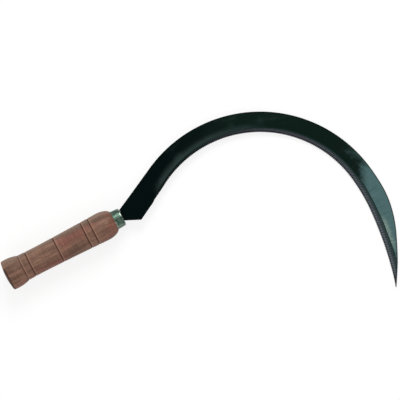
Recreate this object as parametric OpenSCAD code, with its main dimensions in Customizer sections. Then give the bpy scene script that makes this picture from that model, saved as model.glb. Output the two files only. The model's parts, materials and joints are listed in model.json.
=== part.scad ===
// A serrated sickle in three pieces: a turned wooden handle, a steel ferrule and a toothed blade.
// Sizes are in millimetres and degrees. The tool is first drawn level: x runs along the handle's axis
// from the butt end, y points to the blade's back, and z to the face that the bevel is ground on.
// laid() then sets it down the way it rests on a table, with its box centred over the origin.

/* [Handle] */
// Length of the wood that shows, from the butt end to the ferrule
handle_l = 133; // [115:1:160]
// Diameter over the bead at the butt
butt_d = 34.5; // [32:0.5:40]
// How far the bead is thickest from the butt end
butt_peak = 7; // [4:0.5:10]
// Diameter of the flat in the middle of the butt end
butt_flat_d = 14; // [8:1:20]
// How far the butt end is crowned around its flat
butt_crown = 1.2; // [0.6:0.1:2]
// Rounding of the butt's rim
butt_rim_r = 2; // [1:0.25:3]
// Diameter at the first groove, where the bead runs out
bead_root_d = 29.9; // [28:0.1:31.5]
// Diameter of the grip where it is slimmest
grip_d = 29; // [25:0.25:29.5]
// How far the grip is slimmest from the butt end
waist = 38; // [32:1:50]
// Diameter of the grip where the nose begins
nose_d = 32.3; // [30:0.25:36]
// Length of the rounded nose
nose_l = 14.5; // [8:0.5:18]

/* [Grooves] */
// Distance of the first groove from the butt end
rear_groove = 20.8; // [16:0.2:26]
// Distance of the last groove from the ferrule
front_groove = 25.8; // [22:0.2:30]
// Distance between the two grooves of a pair
groove_pitch = 9; // [5:0.2:11]
// Width of a groove at the surface
groove_w = 1.5; // [0.8:0.1:2.5]
// Depth of a groove
groove_depth = 0.45; // [0.2:0.05:1]

/* [Ferrule] */
// Outer diameter at the wood
ferrule_d = 21.4; // [20:0.1:24]
// Outer diameter at the front lip
ferrule_front_d = 20.4; // [19:0.1:22]
// Length of the ferrule
ferrule_l = 10.1; // [7:0.1:14]
// Thickness of its drawn sheet
ferrule_wall = 1; // [0.6:0.1:1.4]
// Rounding of its front lip
lip_r = 1.6; // [1:0.1:2.4]
// How far the wood stands proud of the ferrule where they meet
wood_step = 0.3; // [0.1:0.1:0.8]

/* [Blade] */
// Thickness of the blade's sheet
sheet_t = 1.8; // [1.2:0.1:2.5]
// How far the shoulder reaches from the axis towards the back
neck_back = 7.9; // [6:0.1:9]
// How far the shoulder reaches from the axis towards the edge
neck_front = 5.1; // [5:0.1:8]
// How far the heel's corner lies ahead of the shoulder
heel_ahead = 16.7; // [12:0.1:22]
// How far the heel's corner drops below the axis
heel_drop = 12.8; // [10:0.1:16]
// Rounding of the heel's corner
heel_r = 1.2; // [0.5:0.1:2]
// Direction of the edge at the heel, measured from the axis
heel_angle = 28; // [24:0.5:34]
// Length of edge that is straight, from the heel
heel_run = 51; // [35:1:65]
// Length of edge round the crook
crook_run = 238; // [200:1:250]
// Radius of the crook
crook_r = 124.5; // [115:0.5:140]
// Length of edge where the crook opens
fore_run = 42; // [30:1:60]
// Radius where the crook opens
fore_r = 205; // [170:5:280]
// Length of edge to the point
tip_run = 87; // [60:1:100]
// Radius of the edge to the point
tip_r = 440; // [300:20:900]
// Width of the blade at its heel
heel_w = 26; // [24:0.2:28]
// Width of the blade where it is slimmest, over the crook
crown_w = 23.6; // [20:0.1:24]
// Width of the blade where its back turns in to the point
fore_w = 25; // [24:0.1:27]
// Length over which the blade narrows to its point
taper = 108; // [90:2:140]
// Share of that length in which the back still curves
taper_ease = 0.45; // [0.3:0.05:0.6]
// Width that is left at the very point
point_w = 0.7; // [0.4:0.1:1.5]
// Chamfer along the blade's back
back_chamfer = 0.5; // [0.2:0.1:0.8]

/* [Edge] */
// Length of plain edge at the heel, before the bevel starts
plain_l = 22; // [15:1:30]
// Length over which the bevel runs in to its depth
run_in = 14; // [8:1:20]
// How far the grinding has set the edge back from the plain heel
ground_back = 0.7; // [0:0.1:1]
// Length over which the edge steps back
step_l = 5; // [2:0.5:8]
// Width of the bevel where it starts
bevel_w = 3; // [2:0.1:4]
// Width of the bevel near the point
bevel_tip_w = 6.6; // [5:0.1:8]
// Distance of the first tooth from the heel
teeth_start = 38; // [30:1:50]
// Distance of the last tooth from the point
teeth_end = 12; // [8:1:30]
// Distance from tooth to tooth
tooth_pitch = 2; // [1.8:0.1:4]
// Depth of the gaps between the teeth
tooth_depth = 0.7; // [0.3:0.05:1]
// Lean of the cuts between the teeth, towards the point
tooth_slant = 25; // [0:1:35]
// Thickness of a tooth at its point
tooth_t = 0.5; // [0.3:0.05:0.7]
// Thickness of the edge at the bottom of a gap
gap_t = 0.15; // [0.1:0.05:0.25]

/* [Tang] */
// Width of the tang at the shoulder
tang_w = 9; // [7:0.2:10]
// Width of the tang at its far end
tang_tip_w = 5; // [3:0.2:6]
// Length of the tang behind the shoulder
tang_l = 95; // [60:1:105]
// Thickness of the tang, drawn down a little from the sheet
tang_t = 1.6; // [1:0.1:1.7]

/* [Fits] */
// Gap all round the tang in its slots
tang_clear = 0.1; // [0.05:0.05:0.3]
// Gap between the tenon and the ferrule
tenon_clear = 0.05; // [0.02:0.01:0.2]
// Gap between the tenon's end and the inside of the ferrule's face
tenon_end_clear = 0.3; // [0.1:0.1:0.8]
// Gap between the ferrule's face and the blade's shoulder
shoulder_clear = 0.2; // [0.05:0.05:0.4]

/* [Hidden] */
$fn = 96;
wood_color = "#8a6a55";
ferrule_color = "#8a9a92";
blade_color = "#24322f";

// Length of one straight piece of the wood's outline, of plain edge, and of a rounded corner's turn
wood_step_l = 1.5;
edge_step_l = 2;
corner_turn = 15;
// The nose is this much of a quarter ellipse, so that its front doesn't end square
nose_share = 0.96;
// How fast the grip swells from its waist to the nose
swell = 1.5;
// A sheared edge that isn't ground has this small chamfer
sheared = 0.3;
// The bevel takes at most this share of the width, and the chamfer this one
most_bevel = 0.86;
most_chamfer = 0.12;
// How far a cut or a joined solid runs past a face
past = 1;

butt_r = butt_d / 2;
root_r = bead_root_d / 2;
grip_r = grip_d / 2;
nose_r = nose_d / 2;
ferrule_r = ferrule_d / 2;
ferrule_front_r = ferrule_front_d / 2;
nose_x = handle_l - nose_l;
ferrule_front_x = handle_l + ferrule_l;
shoulder_x = ferrule_front_x + shoulder_clear;
half_t = sheet_t / 2;
edge_l = heel_run + crook_run + fore_run + tip_run;
crown_l = heel_run + crook_run / 2;
taper_l = edge_l - taper;

function square(a) = a * a;
// Rises smoothly from 0 to 1 while u goes from 0 to 1
function ease(u) = let (v = min(max(u, 0), 1)) v * v * (3 - 2 * v);
function mix(a, b, u) = a + (b - a) * u;
function unit(v) = v / norm(v);
// Points of an arc about c, from angle a to angle b
function arc(c, r, a, b) =
    let (n = max(2, ceil(abs(b - a) / corner_turn)))
    [for (i = [0:n]) c + r * [cos(mix(a, b, i / n)), sin(mix(a, b, i / n))]];

// Radius of the wood at a distance x from the butt end
function bead_r(x) = butt_r - (butt_r - root_r) * square((x - butt_peak) / (rear_groove - butt_peak));
function grip_at(x) = x < waist
    ? grip_r + (root_r - grip_r) * square((waist - x) / (waist - rear_groove))
    : grip_r + (nose_r - grip_r) * pow((x - waist) / (nose_x - waist), swell);
function fall(u) = 1 - sqrt(1 - square(nose_share * u));
function nose_at(x) = nose_r - (nose_r - ferrule_r - wood_step) * fall((x - nose_x) / nose_l) / fall(1);
function wood_r(x) = x < rear_groove ? bead_r(x) : x < nose_x ? grip_at(x) : nose_at(x);

// The wood's outline as [distance along the axis, radius], from the butt's flat to the ferrule
rim_x = butt_crown + butt_rim_r;
wood_steps = ceil((handle_l - rim_x) / wood_step_l);
wood = concat(
    [[0, butt_flat_d / 2]],
    arc([rim_x, wood_r(rim_x) - butt_rim_r], butt_rim_r, 180, 90),
    [for (i = [1:wood_steps]) let (x = mix(rim_x, handle_l, i / wood_steps)) [x, wood_r(x)]]
);
last_groove = handle_l - front_groove;
grooves = [
    rear_groove,
    rear_groove + groove_pitch,
    (rear_groove + last_groove) / 2,
    last_groove - groove_pitch,
    last_groove
];

// Where the edge is after a length l, as [x, y, direction], turning to the right with a radius r
function go(s, l, r) = r == 0
    ? [s[0] + l * cos(s[2]), s[1] + l * sin(s[2]), s[2]]
    : let (h = s[2] - l / r * 180 / PI)
      [s[0] + r * (sin(s[2]) - sin(h)), s[1] + r * (cos(h) - cos(s[2])), h];
heel = [shoulder_x + heel_ahead, -heel_drop];
runs = [[heel_run, 0], [crook_run, crook_r], [fore_run, fore_r], [tip_run, tip_r]];
function walk(l, s, k) = k == len(runs) - 1 || l <= runs[k][0]
    ? go(s, l, runs[k][1])
    : walk(l - runs[k][0], go(s, runs[k][0], runs[k][1]), k + 1);
// A point at a length l along the edge and a distance n across the blade from it
function on_blade(l, n) = let (s = walk(l, [heel[0], heel[1], heel_angle], 0))
    [s[0] - n * sin(s[2]), s[1] + n * cos(s[2])];

// Width of the blade, and how far the bevel reaches and how deep it is, at a length l along the edge
function tapered(u) = u < taper_ease
    ? square(u) / (taper_ease * (2 - taper_ease))
    : (2 * u - taper_ease) / (2 - taper_ease);
function width(l) = l < crown_l
    ? mix(heel_w, crown_w, 1 - square(1 - l / crown_l))
    : l < taper_l
    ? mix(crown_w, fore_w, square((l - crown_l) / (taper_l - crown_l)))
    : mix(fore_w, point_w, tapered(min((l - taper_l) / taper, 1)));
function ground(l) = ease((l - plain_l) / run_in);
function set_back(l) = min(ground_back * ease((l - plain_l) / step_l), width(l) / 4);
function bevel(l) =
    let (wheel_w = mix(bevel_w, bevel_tip_w, (l - plain_l) / (taper_l - plain_l)))
    mix(sheared, min(wheel_w, most_bevel * (width(l) - set_back(l))), ground(l));

// The blade's cross-section, from the edge to the back and round, with e the place of the edge, r that of
// the bevel's upper line and b that of the back, and t the edge's thickness
function section(e, r, b, c, t) = let (inward = c * unit(r - b)) [
    [e[0], e[1], -half_t],
    [b[0], b[1], -half_t],
    [b[0], b[1], half_t - c],
    [b[0] + inward[0], b[1] + inward[1], half_t],
    [r[0], r[1], half_t],
    [e[0], e[1], t - half_t]
];
// A section at a length l along the edge, with a gap between two teeth where gap is 1
function blade_section(l, gap) =
    let (
        w = width(l),
        back = set_back(l),
        grown = ease((l - teeth_start) / run_in) * min(1, w / (2 * bevel_tip_w)),
        cut = min(gap * grown * tooth_depth, w / 4),
        l_top = l + bevel(l) * tan(tooth_slant) * ground(l),
        t_edge = mix(sheet_t - sheared, gap == 1 ? gap_t : tooth_t, ground(l))
    )
    section(on_blade(l, back + cut), on_blade(l_top, back + bevel(l)), on_blade(l_top, w),
        min(back_chamfer, most_chamfer * w), t_edge);

// The heel: its shoulder stands against the ferrule and its lower side slants out to the rounded corner
neck_low = [shoulder_x, -neck_front];
neck_high = [shoulder_x, neck_back];
slant = unit(heel - neck_low);
slant_angle = atan2(slant[1], slant[0]);
corner_reach = heel_r * tan((heel_angle - slant_angle) / 2);
corner_centre = heel - corner_reach * slant + heel_r * [-slant[1], slant[0]];
corner = arc(corner_centre, heel_r, slant_angle - 90, heel_angle - 90);
heel_sections = [
    for (i = [-1:len(corner) - 1])
        let (
            p = i < 0 ? neck_low : corner[i],
            q = mix(neck_high, on_blade(corner_reach, heel_w), (i + 1) / len(corner))
        )
        section(p, p + sheared * unit(q - p), q, back_chamfer, sheet_t - sheared)
];
teeth = floor((edge_l - teeth_end - teeth_start) / tooth_pitch);
teeth_stop = teeth_start + teeth * tooth_pitch;
plain_steps = ceil((teeth_start - corner_reach) / edge_step_l);
point_steps = ceil((edge_l - teeth_stop) / edge_step_l);
sections = concat(
    heel_sections,
    [for (i = [1:plain_steps]) blade_section(mix(corner_reach, teeth_start, i / plain_steps), 0)],
    [for (i = [0:teeth - 1], gap = [1, 0])
        blade_section(teeth_start + (i + (gap == 1 ? 0.5 : 1)) * tooth_pitch, gap)],
    [for (i = [1:point_steps]) blade_section(mix(teeth_stop, edge_l, i / point_steps), 0)]
);

// At rest the blade's farthest reach and the thickest part of the handle's front touch the table
reach = max([for (s = sections) s[1][0]]);
pitch = max([for (p = wood) atan((p[1] - half_t) / (reach - p[0]))]);
lift = reach * sin(pitch) + half_t * cos(pitch);
low_x = min([for (p = wood) p[0] * cos(pitch) - p[1] * sin(pitch)]);
high_x = reach * cos(pitch) + half_t * sin(pitch);
low_y = min([for (s = sections) min(s[0][1], s[1][1])]);
high_y = max([for (s = sections) s[1][1]]);

module laid() {
    translate([-(low_x + high_x) / 2, -(low_y + high_y) / 2, lift])
        rotate([0, pitch, 0])
            children();
}

// Turns an outline of [distance along the axis, radius] about the handle's axis
module turned(outline) {
    rotate([0, 90, 0])
        rotate_extrude()
            polygon([for (p = outline) [p[1], p[0]]]);
}

// The tang's flat strip, or with a gap all round it the slot that it goes into
module tang_strip(gap, front_x) {
    back_x = shoulder_x - tang_l;
    slope = (tang_w - tang_tip_w) / 2 / tang_l;
    front_y = tang_tip_w / 2 + slope * (front_x - back_x) + gap;
    translate([0, 0, -tang_t / 2 - gap])
        linear_extrude(tang_t + 2 * gap)
            polygon([
                [front_x, -front_y],
                [front_x, front_y],
                [back_x, tang_tip_w / 2 + gap],
                [back_x - tang_tip_w / 2 - gap, 0],
                [back_x, -tang_tip_w / 2 - gap]
            ]);
}

module groove(x) {
    r = wood_r(x);
    turned([
        [x - groove_w / 6, r - groove_depth],
        [x + groove_w / 6, r - groove_depth],
        [x + groove_w / 2 * (1 + past / groove_depth), r + past],
        [x - groove_w / 2 * (1 + past / groove_depth), r + past]
    ]);
}

module handle() {
    tenon_l = ferrule_l - ferrule_wall - tenon_end_clear;
    bore_r = ferrule_r - ferrule_wall - tenon_clear;
    bore_front_r = ferrule_front_r - ferrule_wall - tenon_clear;
    tenon_front_r = mix(bore_r, bore_front_r, tenon_l / ferrule_l);
    color(wood_color)
        laid()
            difference() {
                turned(concat([[0, 0]], wood,
                    [[handle_l, bore_r], [handle_l + tenon_l, tenon_front_r], [handle_l + tenon_l, 0]]));
                for (x = grooves) groove(x);
                tang_strip(tang_clear, shoulder_x);
            }
}

module ferrule() {
    inner_front_x = ferrule_front_x - ferrule_wall;
    inner_front_r = ferrule_front_r - ferrule_wall;
    color(ferrule_color)
        laid()
            difference() {
                turned(concat(
                    [[inner_front_x, 0], [inner_front_x, inner_front_r], [handle_l, ferrule_r - ferrule_wall],
                        [handle_l, ferrule_r]],
                    arc([ferrule_front_x - lip_r, ferrule_front_r - lip_r], lip_r, 90, 0),
                    [[ferrule_front_x, 0]]
                ));
                tang_strip(tang_clear, shoulder_x + past);
            }
}

module blade() {
    n = len(sections[0]);
    last = len(sections) - 1;
    color(blade_color)
        laid() {
            polyhedron(
                points = [for (s = sections) each s],
                faces = concat(
                    [[for (j = [0:n - 1]) j]],
                    [for (i = [0:last - 1], j = [0:n - 1])
                        let (a = i * n + j, b = i * n + (j + 1) % n)
                        each [[a, a + n, b + n], [a, b + n, b]]],
                    [[for (j = [n - 1:-1:0]) last * n + j]]
                )
            );
            tang_strip(0, shoulder_x + past);
        }
}

handle();
ferrule();
blade();
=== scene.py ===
"""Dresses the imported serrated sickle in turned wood, zinc-coated steel and dark ground steel."""
import json
import logging
import math
from dataclasses import dataclass, field
from enum import Enum
from typing import Sequence

import bmesh
import bpy
from mathutils import Matrix, Vector


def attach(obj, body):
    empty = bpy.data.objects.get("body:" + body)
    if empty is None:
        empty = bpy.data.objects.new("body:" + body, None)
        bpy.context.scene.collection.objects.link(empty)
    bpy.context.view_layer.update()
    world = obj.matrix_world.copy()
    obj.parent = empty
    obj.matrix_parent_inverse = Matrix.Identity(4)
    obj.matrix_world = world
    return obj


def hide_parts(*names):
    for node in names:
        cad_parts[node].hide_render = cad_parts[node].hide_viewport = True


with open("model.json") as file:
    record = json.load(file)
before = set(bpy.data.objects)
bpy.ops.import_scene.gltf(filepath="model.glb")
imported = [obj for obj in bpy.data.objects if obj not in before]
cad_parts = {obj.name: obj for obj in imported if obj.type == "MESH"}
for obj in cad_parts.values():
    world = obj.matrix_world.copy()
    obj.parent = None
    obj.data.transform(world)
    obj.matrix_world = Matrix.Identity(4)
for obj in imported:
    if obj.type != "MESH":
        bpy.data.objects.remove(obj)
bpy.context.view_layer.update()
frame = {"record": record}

LOG = logging.getLogger("sickle")
MM = 0.001
TAU = 2 * math.pi

# The lengths that two pieces share, in mm.
WOOD_L = 133.0
FERRULE_L = 10.1
SHOULDER_GAP = 0.2

ARC_STEP_DEG = 10

Colour = tuple[float, float, float]
Point = tuple[float, float, float]
Wire = bpy.types.NodeSocket | float


class Node(Enum):
    """The CAD nodes that the pieces here stand for."""

    HANDLE = "handle"
    FERRULE = "ferrule"
    BLADE = "blade"


def paint(red: int, green: int, blue: int) -> Colour:
    """Turns a colour as a screen shows it into the linear values that a shader takes.

    Args:
        red: The red part, 0 to 255.
        green: The green part, 0 to 255.
        blue: The blue part, 0 to 255.

    Returns:
        The three linear values.
    """
    def linear(part: int) -> float:
        """Gives one part's linear value, by the curve of the sRGB standard."""
        share = part / 255
        return share / 12.92 if share <= 0.04045 else ((share + 0.055) / 1.055) ** 2.4
    return linear(red), linear(green), linear(blue)


def mix(a: float, b: float, share: float) -> float:
    """Returns the value that lies the given share of the way from a to b."""
    return a + (b - a) * share


def ease(u: float) -> float:
    """Returns a value that rises smoothly from 0 to 1 while u goes from 0 to 1."""
    v = min(max(u, 0.0), 1.0)
    return v * v * (3 - 2 * v)


@dataclass(frozen=True)
class ToolFrame:
    """Where the tool's own axes lie: x along the handle from its butt end, z towards the bevelled face."""

    origin: Vector
    pitch: float

    @classmethod
    def from_record(cls, record: dict) -> "ToolFrame":
        """Reads the butt end's place and direction from the record.

        Args:
            record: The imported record.

        Returns:
            The tool's frame.
        """
        butt = next(mount for mount in record["mounts"] if mount["name"] == "butt_end")
        return cls(Vector(butt["pos_m"]), math.asin(butt["axis"][2]))

    def matrix(self) -> Matrix:
        """Returns the matrix that takes the tool's own axes to the row's."""
        return Matrix.Translation(self.origin) @ Matrix.Rotation(self.pitch, 4, "Y")


TOOL = ToolFrame.from_record(frame["record"])


@dataclass(frozen=True)
class Grain:
    """A cloudy pattern: its features in a mm along each axis, its finer layers and their strength."""

    stretch: Point
    detail: float = 3.0
    rough: float = 0.6


@dataclass(frozen=True)
class Layer:
    """A coat that follows a value: none of it at low, and its cover at high, which may be the smaller."""

    low: float
    high: float
    cover: float = 1.0


@dataclass(frozen=True)
class Stretch:
    """A coat over one stretch: its cover within half of the centre, and none past a soft border."""

    centre: float
    half: float
    soft: float
    cover: float = 1.0


class Graph:
    """Builds one material's nodes."""

    # The Mix node's sockets for colours, which share their names with others of its sockets.
    MIX_FIRST = 6
    MIX_SECOND = 7
    MIX_RESULT = 2

    def __init__(self, name: str) -> None:
        """Starts an empty material with one shader.

        Args:
            name: The material's name.
        """
        self.material = bpy.data.materials.new(name)
        self.material.use_nodes = True
        self.tree = self.material.node_tree
        self.tree.nodes.clear()
        self.shader = self.node("ShaderNodeBsdfPrincipled")
        output = self.node("ShaderNodeOutputMaterial")
        self.tree.links.new(self.shader.outputs[0], output.inputs["Surface"])

    def node(self, kind: str, **settings: object) -> bpy.types.Node:
        """Adds a node of a kind, with its settings."""
        made = self.tree.nodes.new(kind)
        for key, value in settings.items():
            setattr(made, key, value)
        return made

    def feed(self, socket: bpy.types.NodeSocket, value: Wire | Colour) -> None:
        """Links a value to a socket, or writes it there."""
        if isinstance(value, bpy.types.NodeSocket):
            self.tree.links.new(value, socket)
        elif isinstance(value, tuple) and len(socket.default_value) == 4:
            socket.default_value = (*value, 1.0)
        else:
            socket.default_value = value

    def sum(self, operation: str, a: Wire, b: Wire = 0.0, c: Wire = 0.0) -> bpy.types.NodeSocket:
        """Adds a math node.

        Args:
            operation: What it does, as Blender names it.
            a: Its first value.
            b: Its second value.
            c: Its third value.

        Returns:
            The result's socket.
        """
        made = self.node("ShaderNodeMath", operation=operation)
        for socket, value in zip(made.inputs, (a, b, c)):
            self.feed(socket, value)
        return made.outputs[0]

    def where_all(self, *shares: Wire) -> Wire:
        """Multiplies shares, so that the result is 1 only where each of them is."""
        product = shares[0]
        for share in shares[1:]:
            product = self.sum("MULTIPLY", product, share)
        return product

    def sway(self, value: Wire, pattern: Wire, reach: float) -> bpy.types.NodeSocket:
        """Returns a value that a pattern pushes up and down, by half the reach at most."""
        return self.sum("MULTIPLY_ADD", self.sum("SUBTRACT", pattern, 0.5), reach, value)

    def rise(self, value: Wire, layer: Layer) -> bpy.types.NodeSocket:
        """Returns how much of a layer lies at a value, which rises smoothly between its ends."""
        made = self.node("ShaderNodeMapRange", interpolation_type="SMOOTHSTEP")
        self.feed(made.inputs["Value"], value)
        falls = layer.high < layer.low
        made.inputs["From Min"].default_value = min(layer.low, layer.high)
        made.inputs["From Max"].default_value = max(layer.low, layer.high)
        made.inputs["To Min"].default_value = layer.cover if falls else 0.0
        made.inputs["To Max"].default_value = 0.0 if falls else layer.cover
        return made.outputs[0]

    def band(self, value: Wire, stretch: Stretch) -> bpy.types.NodeSocket:
        """Returns how much of a stretch's coat lies at a value."""
        away = self.sum("ABSOLUTE", self.sum("SUBTRACT", value, stretch.centre))
        return self.rise(away, Layer(stretch.half + stretch.soft, stretch.half, stretch.cover))

    def blend(self, share: Wire, under: Wire | Colour, over: Wire | Colour) -> bpy.types.NodeSocket:
        """Mixes two colours, with all of the second where the share is 1."""
        made = self.node("ShaderNodeMix", data_type="RGBA")
        self.feed(made.inputs[0], share)
        self.feed(made.inputs[self.MIX_FIRST], under)
        self.feed(made.inputs[self.MIX_SECOND], over)
        return made.outputs[self.MIX_RESULT]

    def coat(self, under: Wire | Colour, value: Wire, layer: Layer, over: Colour) -> bpy.types.NodeSocket:
        """Lays a layer of one colour over another.

        Args:
            under: The colour below.
            value: The value that the layer follows.
            layer: Where the layer lies.
            over: Its colour.

        Returns:
            The colour that shows.
        """
        return self.blend(self.rise(value, layer), under, over)

    def tool_axes(self) -> bpy.types.NodeSocket:
        """Returns the place on the tool's own axes, in mm."""
        place = self.node("ShaderNodeTexCoord")
        turn = self.node("ShaderNodeMapping", vector_type="TEXTURE")
        turn.inputs["Location"].default_value = TOOL.origin
        turn.inputs["Rotation"].default_value = (0.0, TOOL.pitch, 0.0)
        turn.inputs["Scale"].default_value = (MM, MM, MM)
        self.tree.links.new(place.outputs["Object"], turn.inputs["Vector"])
        return turn.outputs[0]

    def attribute(self, name: str) -> bpy.types.NodeSocket:
        """Returns the vector that the mesh holds under a name."""
        return self.node("ShaderNodeAttribute", attribute_name=name).outputs["Vector"]

    def split(self, vector: bpy.types.NodeSocket) -> list[bpy.types.NodeSocket]:
        """Returns a vector's three parts."""
        made = self.node("ShaderNodeSeparateXYZ")
        self.tree.links.new(vector, made.inputs[0])
        return list(made.outputs)

    def join(self, x: Wire, y: Wire, z: Wire) -> bpy.types.NodeSocket:
        """Returns a vector made of three parts."""
        made = self.node("ShaderNodeCombineXYZ")
        for socket, value in zip(made.inputs, (x, y, z)):
            self.feed(socket, value)
        return made.outputs[0]

    def grain(self, vector: bpy.types.NodeSocket, grain: Grain) -> bpy.types.NodeSocket:
        """Adds a cloudy pattern.

        Args:
            vector: Where the pattern is read, in mm.
            grain: What the pattern is like.

        Returns:
            The pattern, about 0.5 on average.
        """
        turn = self.node("ShaderNodeMapping")
        turn.inputs["Scale"].default_value = grain.stretch
        self.tree.links.new(vector, turn.inputs["Vector"])
        made = self.node("ShaderNodeTexNoise")
        made.inputs["Scale"].default_value = 1.0
        made.inputs["Detail"].default_value = grain.detail
        made.inputs["Roughness"].default_value = grain.rough
        self.tree.links.new(turn.outputs[0], made.inputs["Vector"])
        return made.outputs[0]

    def finish(self, colour: Wire, roughness: Wire, height: Wire, relief: float) -> bpy.types.Material:
        """Feeds the shader.

        Args:
            colour: The surface's colour.
            roughness: How dull it is, 0 to 1.
            height: The small relief's pattern.
            relief: How deep that relief is, in mm.

        Returns:
            The material.
        """
        bump = self.node("ShaderNodeBump")
        bump.inputs["Distance"].default_value = relief * MM
        self.feed(bump.inputs["Height"], height)
        self.tree.links.new(bump.outputs[0], self.shader.inputs["Normal"])
        self.feed(self.shader.inputs["Base Color"], colour)
        self.feed(self.shader.inputs["Roughness"], roughness)
        return self.material


@dataclass(frozen=True)
class TurnedWood:
    """Bare brown hardwood off the lathe, with grooves burned by a wire, a painted grey highlight along the
    side towards the blade's back, a painted highlight beside each groove and painted shade at the butt end.
    Lengths are in mm.
    """

    grooves: tuple[float, ...]
    light: Colour = paint(150, 112, 92)
    middle: Colour = paint(106, 76, 61)
    dark: Colour = paint(76, 51, 37)
    red: Colour = paint(132, 72, 62)
    grey: Colour = paint(138, 119, 105)
    # The burn in the grooves, and also the painted shade at the butt end.
    burn_and_shade: Colour = paint(60, 29, 15)
    broad: Grain = Grain((0.016, 0.15, 0.15))
    fine: Grain = Grain((0.055, 1.5, 1.5))
    stain: Grain = Grain((0.024, 0.042, 0.042), 2.0, 0.5)
    cuts: Grain = Grain((0.85, 0.045, 0.045), 3.0, 0.75)
    mottle: Grain = Grain((0.26, 0.42, 0.42), 2.0)
    wander: Grain = Grain((0.028, 1.0, 1.0), 2.0, 0.5)
    streaks: Layer = Layer(0.36, 0.66)
    evened: float = 0.35
    reddened: Layer = Layer(0.55, 0.7, 0.55)
    # A painted highlight: paler grey along the side towards the blade's back.
    lit_side_highlight: Layer = Layer(7.0, 16.0, 0.6)
    fibres: Layer = Layer(0.62, 0.4, 0.35)
    pale_cuts: Layer = Layer(0.5, 0.72, 0.35)
    dark_cuts: Layer = Layer(0.48, 0.3, 0.3)
    flecks: Layer = Layer(0.56, 0.74, 0.4)
    vein: Stretch = Stretch(1.0, 0.25, 0.7, 0.5)
    vein_sway: float = 16.0
    groove_half: float = 0.42
    groove_fray: float = 0.3
    first_cover: float = 0.5
    # A painted highlight beside each groove.
    highlight_away: float = 1.5
    highlight_cover: float = 0.45
    # Painted shade on the butt end's face and in a ring beside it.
    end_face_shade: Layer = Layer(1.1, 0.5)
    end_shade_reach: Layer = Layer(3.7, 3.0)
    end_shade_side: Layer = Layer(8.5, 7.0)
    end_shade_sway: float = 1.5
    cut_height: float = 0.6
    fibre_height: float = 0.4
    relief: float = 0.12
    dullness: float = 0.5
    more_dullness: float = 0.25
    gloss: float = 0.3

    def material(self) -> bpy.types.Material:
        """Returns the wood's material."""
        g = Graph("turned_wood")
        place = g.tool_axes()
        x, y, _ = g.split(place)
        fine = g.grain(place, self.fine)
        stain = g.grain(place, self.stain)
        cuts = g.grain(place, self.cuts)
        colour = g.coat(self.dark, g.grain(place, self.broad), self.streaks, self.light)
        colour = g.blend(self.evened, colour, self.middle)
        colour = g.coat(colour, stain, self.reddened, self.red)
        # Painted highlight: the side towards the blade's back is painted a paler grey.
        colour = g.coat(colour, y, self.lit_side_highlight, self.grey)
        colour = g.coat(colour, fine, self.fibres, self.dark)
        colour = g.coat(colour, cuts, self.pale_cuts, self.light)
        colour = g.coat(colour, cuts, self.dark_cuts, self.dark)
        colour = g.coat(colour, g.grain(place, self.mottle), self.flecks, self.dark)
        wander = g.grain(g.join(x, 0.0, 0.0), self.wander)
        colour = g.blend(g.band(g.sway(y, wander, self.vein_sway), self.vein), colour, self.dark)
        burn, lip = self.rings(g, x, cuts)
        # A painted highlight beside each groove.
        colour = g.blend(lip, colour, self.light)
        colour = g.blend(burn, colour, self.burn_and_shade)
        # Painted shade on the butt end, but for the side of the blade's back.
        colour = g.blend(self.painted_end_shade(g, x, y, stain), colour, self.burn_and_shade)
        height = g.sum("MULTIPLY_ADD", cuts, self.cut_height, g.sum("MULTIPLY", fine, self.fibre_height))
        roughness = g.sum("MULTIPLY_ADD", fine, self.more_dullness, self.dullness)
        g.shader.inputs["Specular IOR Level"].default_value = self.gloss
        return g.finish(colour, roughness, height, self.relief)

    def rings(self, g: Graph, x: Wire, cuts: Wire) -> tuple[Wire, Wire]:
        """Marks where the grooves are burned. The first one is burned less than the rest.

        Args:
            g: The material's nodes.
            x: The distance from the butt end.
            cuts: The lathe's marks, which break the burn's border up.

        Returns:
            The share that is burned, and the share of painted highlight beside it.
        """
        burn: Wire = 0.0
        lip: Wire = 0.0
        ragged = g.sway(x, cuts, self.groove_fray)
        half = self.groove_half
        for groove in self.grooves:
            cover = self.first_cover if groove == self.grooves[0] else 1.0
            burn = g.sum("MAXIMUM", burn, g.band(ragged, Stretch(groove, half, half, cover)))
            # Where the painted highlight beside the groove lies.
            beside = Stretch(groove + self.highlight_away, half, half, self.highlight_cover)
            lip = g.sum("MAXIMUM", lip, g.band(ragged, beside))
        return burn, lip

    def painted_end_shade(self, g: Graph, x: Wire, y: Wire, stain: Wire) -> Wire:
        """Marks painted shade on the butt end, and in a narrow ring beside it but for the side of the
        blade's back.

        Args:
            g: The material's nodes.
            x: The distance from the butt end.
            y: The distance from the axis towards the blade's back.
            stain: The pattern that makes the ring's border uneven.

        Returns:
            The share of painted shade.
        """
        end = g.sway(x, stain, self.end_shade_sway)
        side = g.where_all(g.rise(end, self.end_shade_reach), g.rise(y, self.end_shade_side))
        return g.sum("MAXIMUM", side, g.rise(x, self.end_face_shade))


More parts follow.
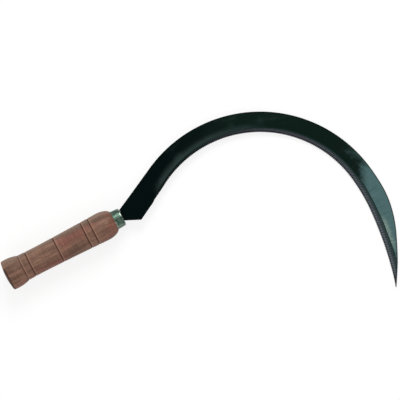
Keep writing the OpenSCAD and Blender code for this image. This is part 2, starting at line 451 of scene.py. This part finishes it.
@dataclass(frozen=True)
class ZincCoat:
    """Drawn steel with a bright zinc coat, with painted highlights at both rims and in streaks along it.
    Lengths are in mm.
    """

    rear: float
    front: float
    body: Colour = paint(84, 104, 92)
    # The colour of the painted highlights.
    glint: Colour = paint(180, 187, 178)
    dull: Colour = paint(50, 70, 60)
    streaking: Grain = Grain((0.09, 0.7, 0.7))
    cloud: Grain = Grain((0.16, 0.16, 0.16), 4.0)
    drawn: Grain = Grain((2.6, 0.09, 0.09), 2.0, 0.5)
    patches: Layer = Layer(0.35, 0.65)
    # Painted highlights in streaks along the cup.
    glint_streaks: Layer = Layer(0.54, 0.72, 0.5)
    # How much of each rim a painted highlight covers.
    rim_glint_spread: Layer = Layer(0.4, 0.65)
    rim_half: float = 0.3
    rear_soft: float = 0.7
    front_soft: float = 0.8
    front_in: float = 0.8
    relief: float = 0.03
    dullness: float = 0.22
    more_dullness: float = 0.2

    def material(self) -> bpy.types.Material:
        """Returns the coat's material."""
        g = Graph("zinc_coat")
        place = g.tool_axes()
        x, _, _ = g.split(place)
        streaking = g.grain(place, self.streaking)
        cloud = g.grain(place, self.cloud)
        drawn = g.grain(place, self.drawn)
        # Painted highlights on the rounded rear and front rims.
        rear = g.band(x, Stretch(self.rear, self.rim_half, self.rear_soft))
        front = g.band(x, Stretch(self.front - self.front_in, self.rim_half, self.front_soft))
        rims = g.where_all(g.sum("MAXIMUM", rear, front), g.rise(cloud, self.rim_glint_spread))
        colour = g.coat(self.dull, cloud, self.patches, self.body)
        # Painted highlights in streaks along the cup, then on the rims.
        colour = g.coat(colour, streaking, self.glint_streaks, self.glint)
        colour = g.blend(rims, colour, self.glint)
        roughness = g.sum("MULTIPLY_ADD", cloud, self.more_dullness, self.dullness)
        g.shader.inputs["Metallic"].default_value = 1.0
        return g.finish(colour, roughness, g.sum("ADD", drawn, streaking), self.relief)


@dataclass(frozen=True)
class DarkSteel:
    """Hardened sheet steel, near black by the heel and paler to the point, where it is brushed and has a
    painted reflection. Lengths are in mm.
    """

    length: float
    pitch: float
    plain: float
    near: Colour = paint(6, 14, 14)
    middle: Colour = paint(14, 27, 23)
    # The colour towards the point: brushed steel with a painted reflection.
    far: Colour = paint(70, 97, 98)
    sheen: Colour = paint(44, 58, 56)
    streaking: Colour = paint(150, 166, 154)
    ground: Colour = paint(100, 98, 108)
    stroke: Colour = paint(24, 32, 32)
    haze: Colour = paint(34, 48, 48)
    # The painted shadow in the gaps between the teeth.
    gullet_shadow: Colour = paint(16, 22, 22)
    line: Colour = paint(16, 36, 30)
    brushed: Grain = Grain((2.2, 0.05, 1.0))
    cloud: Grain = Grain((0.045, 0.09, 1.0), 4.0)
    speck: Grain = Grain((0.9, 0.9, 1.0), 2.0, 0.5)
    cloud_sway: float = 70.0
    middle_w: float = 12.0
    slant: float = 1.6
    past_heel: Layer = Layer(60.0, 160.0)
    pale_starts: float = 0.65
    pale_whole: float = 0.74
    inner_side: Layer = Layer(12.0, 3.0, 0.8)
    inner_part: Stretch = Stretch(100.0, 40.0, 40.0)
    sheen_clouds: Layer = Layer(0.5, 0.75, 0.35)
    sheen_part: Stretch = Stretch(130.0, 50.0, 40.0)
    bright_lines: Layer = Layer(0.5, 0.8, 0.4)
    lined_part: Layer = Layer(250.0, 350.0)
    dark_lines: Layer = Layer(0.5, 0.25, 0.45)
    rub_share: float = 0.85
    rub_half: float = 8.0
    rub_soft: float = 16.0
    rub_across: Stretch = Stretch(9.0, 1.0, 4.0, 0.6)
    rub_specks: Layer = Layer(0.4, 0.6)
    dots: Layer = Layer(0.68, 0.74, 0.5)
    ridge_line: Stretch = Stretch(-0.4, 0.25, 0.35)
    ridge_sway: float = 2.0
    ridge_part: Layer = Layer(60.0, 200.0)
    # Painted shade on the back's chamfer.
    back_shade: Layer = Layer(1.3, 0.8, 0.9)
    ground_border: Layer = Layer(-0.1, 0.15)
    ground_run: float = 6.0
    hazy_part: Layer = Layer(120.0, 330.0)
    stroke_wave: Layer = Layer(0.1, -0.9)
    stroke_across: Stretch = Stretch(2.6, 0.9, 2.0, 0.7)
    stroke_least: float = 0.2
    stroke_part: Layer = Layer(70.0, 220.0)
    wheel_lines: Layer = Layer(0.55, 0.3, 0.6)
    # Where the painted shadow in the gaps lies.
    gullet_across: Layer = Layer(3.0, 1.3)
    gullet_wave: Layer = Layer(-0.6, 0.5, 0.5)
    gullet_least: float = 0.45
    relief: float = 0.02
    dullness: float = 0.3
    more_dullness: float = 0.2

    def material(self) -> bpy.types.Material:
        """Returns the blade's material."""
        g = Graph("dark_steel")
        along, across, to_back = g.split(g.attribute("edge"))
        to_ridge, top, _ = g.split(g.attribute("grind"))
        place = g.join(along, across, top)
        brushed = g.grain(place, self.brushed)
        cloud = g.grain(place, self.cloud)
        speck = g.grain(place, self.speck)
        colour = self.sheet(g, (along, across), brushed, cloud, speck)
        is_ground = g.where_all(
            top, g.rise(to_ridge, self.ground_border),
            g.rise(along, Layer(self.plain, self.plain + self.ground_run)),
        )
        colour = g.blend(is_ground, colour, self.bevel(g, along, across, brushed))
        wavering = g.sway(to_ridge, cloud, self.ridge_sway)
        ridge = g.where_all(top, g.band(wavering, self.ridge_line), g.rise(along, self.ridge_part))
        colour = g.blend(ridge, colour, self.line)
        # Painted shade darkens the back's chamfer.
        colour = g.coat(colour, to_back, self.back_shade, self.near)
        roughness = g.sum("MULTIPLY_ADD", cloud, self.more_dullness, self.dullness)
        g.shader.inputs["Metallic"].default_value = 1.0
        return g.finish(colour, roughness, g.sum("ADD", brushed, speck), self.relief)

    def sheet(self, g: Graph, place: tuple[Wire, Wire], brushed: Wire, cloud: Wire, speck: Wire) -> Wire:
        """Paints the sheet, which turns from black to a grey green on its way to the point: partly brushed
        steel, partly a painted reflection. A painted sheen lies by the edge and in clouds.

        Args:
            g: The material's nodes.
            place: The length along the edge and the distance across the blade.
            brushed: The fine lines across the blade.
            cloud: The broad clouds, which make the borders uneven.
            speck: The small dots.

        Returns:
            The sheet's colour.
        """
        along, across = place
        uneven = g.sway(along, cloud, self.cloud_sway)
        slanted = g.sum("MULTIPLY_ADD", g.sum("SUBTRACT", across, self.middle_w), self.slant, uneven)
        pale_part = Layer(self.pale_starts * self.length, self.pale_whole * self.length)
        colour = g.coat(self.near, uneven, self.past_heel, self.middle)
        # Paler towards the point: partly brushed steel, partly a painted reflection.
        colour = g.coat(colour, slanted, pale_part, self.far)
        inner = g.where_all(g.rise(across, self.inner_side), g.band(uneven, self.inner_part))
        colour = g.blend(inner, colour, self.sheen)
        clouded = g.where_all(g.rise(cloud, self.sheen_clouds), g.band(along, self.sheen_part))
        colour = g.blend(clouded, colour, self.sheen)
        lined = g.where_all(g.rise(brushed, self.bright_lines), g.rise(slanted, self.lined_part))
        colour = g.blend(lined, colour, self.streaking)
        colour = g.coat(colour, brushed, self.dark_lines, self.near)
        rub_along = Stretch(self.rub_share * self.length, self.rub_half, self.rub_soft)
        rub = g.where_all(
            g.band(along, rub_along), g.band(across, self.rub_across), g.rise(speck, self.rub_specks),
        )
        colour = g.blend(rub, colour, self.streaking)
        return g.coat(colour, speck, self.dots, self.near)

    def bevel(self, g: Graph, along: Wire, across: Wire, brushed: Wire) -> Wire:
        """Paints the bevel: pale strokes that the cuts of the teeth leave, with a painted shadow in each
        gap.

        Args:
            g: The material's nodes.
            along: The length along the edge, the same all along a slanted stroke.
            across: The distance from the edge.
            brushed: The fine lines across the blade.

        Returns:
            The bevel's colour.
        """
        wave = g.sum("SINE", g.sum("MULTIPLY_ADD", along, TAU / self.pitch, -TAU / 4))
        strength = g.sum("ADD", g.band(across, self.stroke_across), self.stroke_least)
        strokes = g.where_all(g.rise(wave, self.stroke_wave), strength, g.rise(along, self.stroke_part))
        colour = g.coat(self.stroke, along, self.hazy_part, self.haze)
        colour = g.blend(strokes, colour, self.ground)
        colour = g.coat(colour, brushed, self.wheel_lines, self.stroke)
        # A painted shadow in each gap between the teeth.
        depth = g.sum("ADD", g.rise(wave, self.gullet_wave), self.gullet_least)
        return g.blend(g.where_all(g.rise(across, self.gullet_across), depth), colour, self.gullet_shadow)


def start_clean() -> None:
    """Leaves nothing selected, because an operator acts on all that is."""
    if bpy.context.object and bpy.context.object.mode != "OBJECT":
        bpy.ops.object.mode_set(mode="OBJECT")
    bpy.ops.object.select_all(action="DESELECT")


def close_up(threshold: float) -> None:
    """Merges the doubles of the mesh in edit mode, closes its holes and turns its faces outwards.

    Args:
        threshold: How near two points are merged, in metres.
    """
    bpy.ops.mesh.select_mode(type="VERT")
    bpy.ops.mesh.select_all(action="SELECT")
    bpy.ops.mesh.remove_doubles(threshold=threshold)
    bpy.ops.mesh.select_all(action="DESELECT")
    bpy.ops.mesh.select_non_manifold()
    bpy.ops.mesh.fill_holes(sides=0)
    bpy.ops.mesh.select_all(action="SELECT")
    bpy.ops.mesh.normals_make_consistent(inside=False)


def turn_on_lathe(name: str, outline: Sequence[tuple[float, float]], sides: int) -> bpy.types.Object:
    """Turns a closed solid about the tool's x axis, by extruding and scaling a disc.

    Args:
        name: The piece's name.
        outline: Its points as (distance along the axis, radius), in mm.
        sides: How many sides a ring has.

    Returns:
        The piece, still on the tool's own axes.
    """
    start_clean()
    first_x, first_r = outline[0]
    bpy.ops.mesh.primitive_circle_add(
        vertices=sides, radius=first_r * MM, fill_type="NGON", location=(first_x * MM, 0, 0),
        rotation=(0, math.pi / 2, 0), enter_editmode=False,
    )
    piece = bpy.context.object
    piece.name = name
    bpy.ops.object.transform_apply(location=True, rotation=True, scale=True)
    bpy.ops.object.mode_set(mode="EDIT")
    bpy.ops.mesh.select_mode(type="FACE")
    bpy.ops.mesh.select_all(action="SELECT")
    for (x, r), (next_x, next_r) in zip(outline, outline[1:]):
        bpy.ops.mesh.extrude_region_move(TRANSFORM_OT_translate={"value": ((next_x - x) * MM, 0, 0)})
        bpy.ops.transform.resize(value=(1, next_r / r, next_r / r), center_override=(next_x * MM, 0, 0))
    bpy.ops.mesh.select_all(action="SELECT")
    bpy.ops.mesh.normals_make_consistent(inside=False)
    bpy.ops.object.mode_set(mode="OBJECT")
    return piece


def quarter_round(centre: tuple[float, float], radius: float, start_deg: int) -> list[tuple[float, float]]:
    """Rounds a corner of a turned outline.

    Args:
        centre: The middle of the round, as (distance along the axis, radius), in mm.
        radius: The round's own radius, in mm.
        start_deg: The direction in which it starts, from which it turns by a quarter towards 0.

    Returns:
        The round's points.
    """
    angles = [math.radians(start_deg - turn) for turn in range(0, 91, ARC_STEP_DEG)]
    x, r = centre
    return [(x + radius * math.cos(angle), r + radius * math.sin(angle)) for angle in angles]


def set_down(piece: bpy.types.Object, smooth_deg: float) -> None:
    """Smooths a piece and takes it from the tool's own axes to the row's, with its place in its mesh.

    Args:
        piece: The piece.
        smooth_deg: The sharpest turn that is still shaded smooth, in degrees.
    """
    start_clean()
    piece.select_set(True)
    bpy.context.view_layer.objects.active = piece
    bpy.ops.object.shade_smooth_by_angle(angle=math.radians(smooth_deg))
    piece.matrix_world = TOOL.matrix()
    bpy.ops.object.transform_apply(location=True, rotation=True, scale=True)


def hand_over(piece: bpy.types.Object, node: Node, finish: bpy.types.Material) -> None:
    """Gives a piece its finish and its body, and hides the CAD node that it stands for.

    Args:
        piece: The piece.
        node: The CAD node.
        finish: Its material.
    """
    piece.data.materials.clear()
    piece.data.materials.append(finish)
    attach(piece, "root")
    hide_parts(node.value)
    LOG.info("%s: %d faces", piece.name, len(piece.data.polygons))


@dataclass
class Handle:
    """The turned wooden handle. Sizes are in mm."""

    length: float = WOOD_L
    butt_r: float = 17.25
    butt_peak: float = 7.0
    butt_flat_r: float = 7.0
    butt_crown: float = 1.2
    rim_r: float = 2.0
    root_r: float = 14.95
    grip_r: float = 14.5
    waist: float = 38.0
    nose_r: float = 16.15
    nose_l: float = 14.5
    nose_share: float = 0.96
    swell: float = 1.5
    groove_first: float = 20.8
    groove_last: float = 107.2
    groove_pitch: float = 9.0
    groove_w: float = 1.5
    groove_flank: float = 0.5
    groove_depth: float = 0.45
    groove_marks: tuple[float, ...] = (-0.5, -0.35, -0.17, 0.17, 0.35, 0.5)
    seat_r: float = 11.0
    tenon_r: float = 9.65
    tenon_front_r: float = 9.21
    tenon_l: float = 8.8
    step: float = 0.75
    sides: int = 160
    smooth_deg: float = 50.0
    grooves: tuple[float, ...] = field(init=False)

    def __post_init__(self) -> None:
        """Works out where the grooves are."""
        self.grooves = (
            self.groove_first, self.groove_first + self.groove_pitch,
            (self.groove_first + self.groove_last) / 2,
            self.groove_last - self.groove_pitch, self.groove_last,
        )

    def wood_r(self, x: float) -> float:
        """Returns the wood's radius at a distance from the butt end, without the grooves."""
        nose_x = self.length - self.nose_l
        if x < self.groove_first:
            away = (x - self.butt_peak) / (self.groove_first - self.butt_peak)
            return self.butt_r - (self.butt_r - self.root_r) * away ** 2
        if x < self.waist:
            away = (self.waist - x) / (self.waist - self.groove_first)
            return self.grip_r + (self.root_r - self.grip_r) * away ** 2
        if x < nose_x:
            away = (x - self.waist) / (nose_x - self.waist)
            return self.grip_r + (self.nose_r - self.grip_r) * away ** self.swell
        away = (x - nose_x) / self.nose_l
        return self.nose_r - (self.nose_r - self.seat_r) * self.fall(away) / self.fall(1.0)

    def fall(self, u: float) -> float:
        """Returns how far the nose has fallen at a share of its length."""
        return 1 - math.sqrt(1 - (self.nose_share * u) ** 2)

    def groove_cut(self, x: float) -> float:
        """Returns how deep the grooves are cut at a distance from the butt end."""
        away = min(abs(x - groove) for groove in self.grooves)
        return self.groove_depth * ease((self.groove_w / 2 - away) / self.groove_flank)

    def outline(self) -> list[tuple[float, float]]:
        """Returns the turned outline, from the butt's flat to the tenon's end."""
        rim_x = self.butt_crown + self.rim_r
        centre_r = self.wood_r(rim_x) - self.rim_r
        points = [(0.0, self.butt_flat_r)] + quarter_round((rim_x, centre_r), self.rim_r, 180)
        # Rounded to a thousandth of a mm, so that a place that comes up twice is there once.
        places = {round(rim_x + i * self.step, 3) for i in range(1, int((self.length - rim_x) / self.step))}
        for groove in self.grooves:
            places |= {round(groove + self.groove_w * mark, 3) for mark in self.groove_marks}
        points += [(x, self.wood_r(x) - self.groove_cut(x)) for x in sorted(places)]
        points.append((self.length, self.wood_r(self.length)))
        points += [(self.length, self.tenon_r), (self.length + self.tenon_l, self.tenon_front_r)]
        return points

    def build(self) -> bpy.types.Object:
        """Turns the handle and dresses it.

        Returns:
            The handle.
        """
        piece = turn_on_lathe("wooden_handle", self.outline(), self.sides)
        set_down(piece, self.smooth_deg)
        hand_over(piece, Node.HANDLE, TurnedWood(self.grooves).material())
        return piece


@dataclass
class Ferrule:
    """The drawn steel cup over the handle's front. Sizes are in mm."""

    rear: float = WOOD_L
    front: float = WOOD_L + FERRULE_L
    rear_r: float = 10.7
    front_r: float = 10.2
    wall: float = 1.0
    lip_r: float = 1.6
    rear_edge: float = 0.25
    slot_w: float = 9.2
    slot_t: float = 1.8
    cutter_l: float = 4.0
    sides: int = 160
    smooth_deg: float = 40.0

    def outline(self) -> list[tuple[float, float]]:
        """Returns the cup's outline, from inside its closed face round to its front."""
        inside = [(self.front - self.wall, self.front_r - self.wall), (self.rear, self.rear_r - self.wall)]
        rear = [(self.rear, self.rear_r - self.rear_edge), (self.rear + self.rear_edge, self.rear_r)]
        lip_centre = (self.front - self.lip_r, self.front_r - self.lip_r)
        return inside + rear + quarter_round(lip_centre, self.lip_r, 90)

    def build(self) -> bpy.types.Object:
        """Turns the cup, cuts the tang's slot in its face and dresses it.

        Returns:
            The ferrule.
        """
        piece = turn_on_lathe("steel_ferrule", self.outline(), self.sides)
        start_clean()
        bpy.ops.mesh.primitive_cube_add(size=1, location=(self.front * MM, 0, 0))
        cutter = bpy.context.object
        cutter.scale = (self.cutter_l * MM, self.slot_w * MM, self.slot_t * MM)
        start_clean()
        piece.select_set(True)
        bpy.context.view_layer.objects.active = piece
        cut = piece.modifiers.new("slot", "BOOLEAN")
        cut.object = cutter
        cut.operation = "DIFFERENCE"
        bpy.ops.object.modifier_apply(modifier=cut.name)
        bpy.data.objects.remove(cutter)
        set_down(piece, self.smooth_deg)
        hand_over(piece, Node.FERRULE, ZincCoat(self.rear, self.front).material())
        return piece


@dataclass(frozen=True)
class Spot:
    """A point of the blade's mesh with what its finish has to know there, in mm."""

    place: Point
    along: float
    across: float
    to_back: float
    to_ridge: float
    on_top: float


@dataclass
class Blade:
    """The toothed blade, as a strip of slanted sections along its edge. Sizes are in mm.

    The edge's runs are pairs of a length and a radius, with a radius of 0 for the straight one.
    """

    shoulder: float = WOOD_L + FERRULE_L + SHOULDER_GAP
    sheet: float = 1.8
    neck_back: float = 7.9
    neck_front: float = 5.1
    heel: tuple[float, float] = (160.0, -12.8)
    heel_r: float = 1.2
    heel_deg: float = 28.0
    heel_steps: int = 4
    runs: tuple[tuple[float, float], ...] = ((51.0, 0.0), (238.0, 124.5), (42.0, 205.0), (87.0, 440.0))
    heel_w: float = 26.0
    crown_w: float = 23.6
    fore_w: float = 25.0
    taper: float = 108.0
    taper_ease: float = 0.45
    point_w: float = 0.7
    chamfer: float = 0.5
    most_chamfer: float = 0.12
    plain: float = 22.0
    run_in: float = 14.0
    ground_back: float = 0.7
    step_l: float = 5.0
    sheared: float = 0.3
    bevel_w: float = 3.0
    bevel_tip_w: float = 6.6
    most_bevel: float = 0.86
    teeth_start: float = 38.0
    teeth_end: float = 12.0
    pitch: float = 2.0
    tooth_depth: float = 0.7
    most_cut: float = 0.25
    slant_deg: float = 25.0
    tooth_t: float = 0.5
    gap_t: float = 0.15
    tang_w: float = 9.0
    tang_t: float = 1.6
    tang_shown: float = 1.4
    tang_past: float = 1.0
    plain_row: float = 2.0
    merge: float = 0.002
    smooth_deg: float = 12.0
    length: float = field(init=False)

    def __post_init__(self) -> None:
        """Works out the edge's length."""
        self.length = sum(run for run, _ in self.runs)

    def walk(self, along: float) -> tuple[float, float, float]:
        """Returns where the edge is after a length, and its direction in radians."""
        x, y = self.heel
        heading = math.radians(self.heel_deg)
        left = along
        for index, (run, radius) in enumerate(self.runs):
            last = index == len(self.runs) - 1
            go = left if last else min(left, run)
            if radius == 0:
                x += go * math.cos(heading)
                y += go * math.sin(heading)
            else:
                turned = heading - go / radius
                x += radius * (math.sin(heading) - math.sin(turned))
                y += radius * (math.cos(turned) - math.cos(heading))
                heading = turned
            left -= go
            if left <= 0:
                break
        return x, y, heading

    def on_blade(self, along: float, across: float) -> tuple[float, float]:
        """Returns the point at a length along the edge and a distance across the blade."""
        x, y, heading = self.walk(along)
        return x - across * math.sin(heading), y + across * math.cos(heading)

    def width(self, along: float) -> float:
        """Returns the blade's width at a length along the edge."""
        crown = self.runs[0][0] + self.runs[1][0] / 2
        taper_l = self.length - self.taper
        if along < crown:
            return mix(self.heel_w, self.crown_w, 1 - (1 - along / crown) ** 2)
        if along < taper_l:
            return mix(self.crown_w, self.fore_w, ((along - crown) / (taper_l - crown)) ** 2)
        u = min((along - taper_l) / self.taper, 1.0)
        if u < self.taper_ease:
            share = u * u / (self.taper_ease * (2 - self.taper_ease))
        else:
            share = (2 * u - self.taper_ease) / (2 - self.taper_ease)
        return mix(self.fore_w, self.point_w, share)

    def ground(self, along: float) -> float:
        """Returns how far the grinding has run in."""
        return ease((along - self.plain) / self.run_in)

    def set_back(self, along: float) -> float:
        """Returns how far the grinding has set the edge back."""
        ground = self.ground_back * ease((along - self.plain) / self.step_l)
        return min(ground, self.most_cut * self.width(along))

    def bevel(self, along: float) -> float:
        """Returns the bevel's width at a length along the edge."""
        share = (along - self.plain) / (self.length - self.taper - self.plain)
        wheel = mix(self.bevel_w, self.bevel_tip_w, share)
        most = self.most_bevel * (self.width(along) - self.set_back(along))
        return mix(self.sheared, min(wheel, most), self.ground(along))

    def section(
        self, edge: tuple[float, float], ridge: tuple[float, float], back: tuple[float, float],
        chamfer: float, edge_t: float, along: float,
    ) -> list[Spot]:
        """Goes round one section of the blade.

        Args:
            edge: The edge's place.
            ridge: The place of the bevel's upper line.
            back: The back's place.
            chamfer: The back's chamfer.
            edge_t: The thickness at the edge.
            along: The length along the edge.

        Returns:
            The section's points, from the edge's underside to the back and round to the start.
        """
        half = self.sheet / 2
        e, r, b = Vector(edge), Vector(ridge), Vector(back)
        bevel_w, width = (r - e).length, (b - e).length
        top_back = b + (r - b).normalized() * chamfer

        def spot(flat: Vector, z: float, top: float) -> Spot:
            """Gives one point with its distances to the edge, back and ridge."""
            across = (flat - e).length
            return Spot((flat.x, flat.y, z), along, across, width - across, bevel_w - across, top)
        shares = (1 / 3, 2 / 3)
        ring = [spot(e, -half, 0.0)]
        ring += [spot(e.lerp(b, share), -half, 0.0) for share in shares]
        ring += [spot(b, -half, 0.0), spot(b, half - chamfer, 0.0), spot(top_back, half, 1.0)]
        ring += [spot(top_back.lerp(r, share), half, 1.0) for share in shares]
        ring += [spot(r, half, 1.0), spot(r.lerp(e, 0.5), mix(half, edge_t - half, 0.5), 1.0)]
        return ring + [spot(e, edge_t - half, 1.0), spot(e, -half, 0.0)]

    def edge_section(self, along: float, gap: float) -> list[Spot]:
        """Goes round the section at a length along the edge, in a gap between two teeth where gap is 1."""
        width, back = self.width(along), self.set_back(along)
        ground, bevel = self.ground(along), self.bevel(along)
        grown = ease((along - self.teeth_start) / self.run_in) * min(1.0, width / (2 * self.bevel_tip_w))
        cut = min(gap * grown * self.tooth_depth, self.most_cut * width)
        top = along + bevel * math.tan(math.radians(self.slant_deg)) * ground
        edge_t = mix(self.sheet - self.sheared, self.gap_t if gap else self.tooth_t, ground)
        return self.section(
            self.on_blade(along, back + cut), self.on_blade(top, back + bevel), self.on_blade(top, width),
            min(self.chamfer, self.most_chamfer * width), edge_t, along,
        )

    def heel_sections(self) -> tuple[list[list[Spot]], float]:
        """Goes round the heel's sections, from the shoulder to the rounded corner.

        Returns:
            The sections, and the length along the edge at which they end.
        """
        low, high = Vector((self.shoulder, -self.neck_front)), Vector((self.shoulder, self.neck_back))
        heel = Vector(self.heel)
        slant = (heel - low).normalized()
        slant_a = math.atan2(slant.y, slant.x)
        heel_a = math.radians(self.heel_deg)
        reach = self.heel_r * math.tan((heel_a - slant_a) / 2)
        centre = heel - reach * slant + self.heel_r * Vector((-slant.y, slant.x))
        steps = self.heel_steps
        places = [low] + [
            centre + self.heel_r * Vector((math.cos(a), math.sin(a)))
            for a in (mix(slant_a, heel_a, i / steps) - math.pi / 2 for i in range(steps + 1))
        ]
        end = Vector(self.on_blade(reach, self.heel_w))
        rings = []
        for i, place in enumerate(places):
            back = high.lerp(end, i / (len(places) - 1))
            ridge = place + self.sheared * (back - place).normalized()
            rings.append(self.section(tuple(place), tuple(ridge), tuple(back), self.chamfer,
                                      self.sheet - self.sheared, place.x - self.heel[0]))
        return rings, reach

    def plain_rings(self, start: float, stop: float) -> list[list[Spot]]:
        """Returns the sections of a stretch of the edge without teeth, but for the first."""
        rows = math.ceil((stop - start) / self.plain_row)
        return [self.edge_section(mix(start, stop, i / rows), 0.0) for i in range(1, rows + 1)]

    def rings(self) -> list[list[Spot]]:
        """Returns all the blade's sections, from the shoulder to the point."""
        rings, reach = self.heel_sections()
        rings += self.plain_rings(reach, self.teeth_start)
        teeth = math.floor((self.length - self.teeth_end - self.teeth_start) / self.pitch)
        for tooth in range(teeth):
            start = self.teeth_start + tooth * self.pitch
            rings.append(self.edge_section(start + self.pitch / 2, 1.0))
            rings.append(self.edge_section(start + self.pitch, 0.0))
        return rings + self.plain_rings(self.teeth_start + teeth * self.pitch, self.length)

    def strip(self) -> bpy.types.Object:
        """Shapes a flat grid into the blade's closed strip.

        Returns:
            The strip, on the tool's own axes.
        """
        rings = self.rings()
        rows, columns = len(rings) - 1, len(rings[0]) - 1
        start_clean()
        bpy.ops.mesh.primitive_grid_add(x_subdivisions=rows, y_subdivisions=columns, size=2)
        piece = bpy.context.object
        piece.name = "toothed_blade"
        bpy.ops.object.mode_set(mode="EDIT")
        mesh = bmesh.from_edit_mesh(piece.data)
        edge = mesh.verts.layers.float_vector.new("edge")
        grind = mesh.verts.layers.float_vector.new("grind")
        # The grid runs from -1 to 1 both ways, so a point's place on it tells its section and its spot.
        for vertex in mesh.verts:
            spot = rings[round((vertex.co.x + 1) / 2 * rows)][round((vertex.co.y + 1) / 2 * columns)]
            vertex.co = Vector(spot.place) * MM
            vertex[edge] = (spot.along, spot.across, spot.to_back)
            vertex[grind] = (spot.to_ridge, spot.on_top, 0.0)
        bmesh.update_edit_mesh(piece.data)
        close_up(self.merge * MM)
        bpy.ops.object.mode_set(mode="OBJECT")
        return piece

    def build(self) -> bpy.types.Object:
        """Shapes the blade, joins the stretch of tang that goes into the ferrule, and dresses it.

        Returns:
            The blade.
        """
        piece = self.strip()
        start_clean()
        middle = self.shoulder + (self.tang_past - self.tang_shown) / 2
        bpy.ops.mesh.primitive_cube_add(size=1, location=(middle * MM, 0, 0))
        tang = bpy.context.object
        tang.scale = ((self.tang_shown + self.tang_past) * MM, self.tang_w * MM, self.tang_t * MM)
        bpy.ops.object.transform_apply(location=True, rotation=True, scale=True)
        piece.select_set(True)
        bpy.context.view_layer.objects.active = piece
        bpy.ops.object.join()
        set_down(piece, self.smooth_deg)
        hand_over(piece, Node.BLADE, DarkSteel(self.length, self.pitch, self.plain).material())
        return piece


@dataclass(frozen=True)
class Lamp:
    """A soft square lamp that points at the tool. Its place and side are in metres, its power in watts."""

    name: str
    place: Point
    side: float
    power: float

    def hang(self) -> None:
        """Adds the lamp to the scene."""
        data = bpy.data.lights.new(self.name, "AREA")
        data.size = self.side
        data.energy = self.power
        item = bpy.data.objects.new(self.name, data)
        item.location = self.place
        item.rotation_euler = (-Vector(self.place)).to_track_quat("-Z", "Y").to_euler()
        bpy.context.collection.objects.link(item)


@dataclass
class Studio:
    """The floor, the lamps and the camera, which looks straight down as the photograph does, in metres."""

    camera_place: Point = (0.02052, 0.05624, 2.25)
    camera_turn_deg: float = -27.4035
    focal_px: float = 2034.4
    frame_px: float = 400.0
    sensor_mm: float = 36.0
    floor_side: float = 8.0
    floor_drop: float = 0.0004
    floor_glow: float = 0.8
    world_strength: float = 0.55
    lamps: tuple[Lamp, ...] = (
        Lamp("key", (0.6, 1.2, 1.3), 0.9, 20.5),
        Lamp("fill", (-1.0, -0.8, 1.2), 1.2, 7.5),
    )

    def camera(self) -> None:
        """Sets the camera over the tool."""
        data = bpy.data.cameras.new("camera")
        data.sensor_width = self.sensor_mm
        data.lens = self.focal_px / self.frame_px * self.sensor_mm
        item = bpy.data.objects.new("camera", data)
        item.location = self.camera_place
        item.rotation_euler = (0, 0, math.radians(self.camera_turn_deg))
        bpy.context.collection.objects.link(item)
        bpy.context.scene.camera = item

    def seen(self, tree: bpy.types.NodeTree) -> bpy.types.NodeSocket:
        """Returns 1 for rays of the camera, of gloss and through glass, and 0 for the rest."""
        path = tree.nodes.new("ShaderNodeLightPath")
        total = path.outputs["Is Camera Ray"]
        for name in ("Is Glossy Ray", "Is Transmission Ray"):
            both = tree.nodes.new("ShaderNodeMath")
            both.operation = "MAXIMUM"
            tree.links.new(total, both.inputs[0])
            tree.links.new(path.outputs[name], both.inputs[1])
            total = both.outputs[0]
        return total

    def floor(self) -> None:
        """Lays a white floor that keeps a soft shadow."""
        start_clean()
        bpy.ops.mesh.primitive_plane_add(size=self.floor_side, location=(0, 0, -self.floor_drop))
        plane = bpy.context.object
        plane.name = "floor"
        paper = bpy.data.materials.new("white_floor")
        paper.use_nodes = True
        tree = paper.node_tree
        tree.nodes.clear()
        matt = tree.nodes.new("ShaderNodeBsdfDiffuse")
        matt.inputs["Color"].default_value = (1, 1, 1, 1)
        glow = tree.nodes.new("ShaderNodeEmission")
        both = tree.nodes.new("ShaderNodeMixShader")
        output = tree.nodes.new("ShaderNodeOutputMaterial")
        share = tree.nodes.new("ShaderNodeMath")
        share.operation = "MULTIPLY"
        share.inputs[1].default_value = self.floor_glow
        tree.links.new(self.seen(tree), share.inputs[0])
        tree.links.new(share.outputs[0], both.inputs[0])
        tree.links.new(matt.outputs[0], both.inputs[1])
        tree.links.new(glow.outputs[0], both.inputs[2])
        tree.links.new(both.outputs[0], output.inputs["Surface"])
        plane.data.materials.append(paper)

    def world(self) -> None:
        """Lights the tool from all round, with a white background."""
        world = bpy.data.worlds.new("studio")
        world.use_nodes = True
        tree = world.node_tree
        background = tree.nodes["Background"]
        level = tree.nodes.new("ShaderNodeMapRange")
        level.inputs["To Min"].default_value = self.world_strength
        level.inputs["To Max"].default_value = 1.0
        tree.links.new(self.seen(tree), level.inputs["Value"])
        tree.links.new(level.outputs[0], background.inputs["Strength"])
        background.inputs["Color"].default_value = (1, 1, 1, 1)
        bpy.context.scene.world = world

    def build(self) -> None:
        """Sets the studio up."""
        self.floor()
        self.world()
        for lamp in self.lamps:
            lamp.hang()
        self.camera()
        bpy.context.scene.view_settings.view_transform = "Standard"


def main() -> None:
    """Builds the tool's pieces and the studio."""
    logging.basicConfig(level=logging.INFO, format="%(name)s: %(message)s")
    for maker in (Handle(), Ferrule(), Blade()):
        piece = maker.build()
        LOG.info("%s is in place", piece.name)
    Studio().build()


if __name__ == "__main__":
    main()
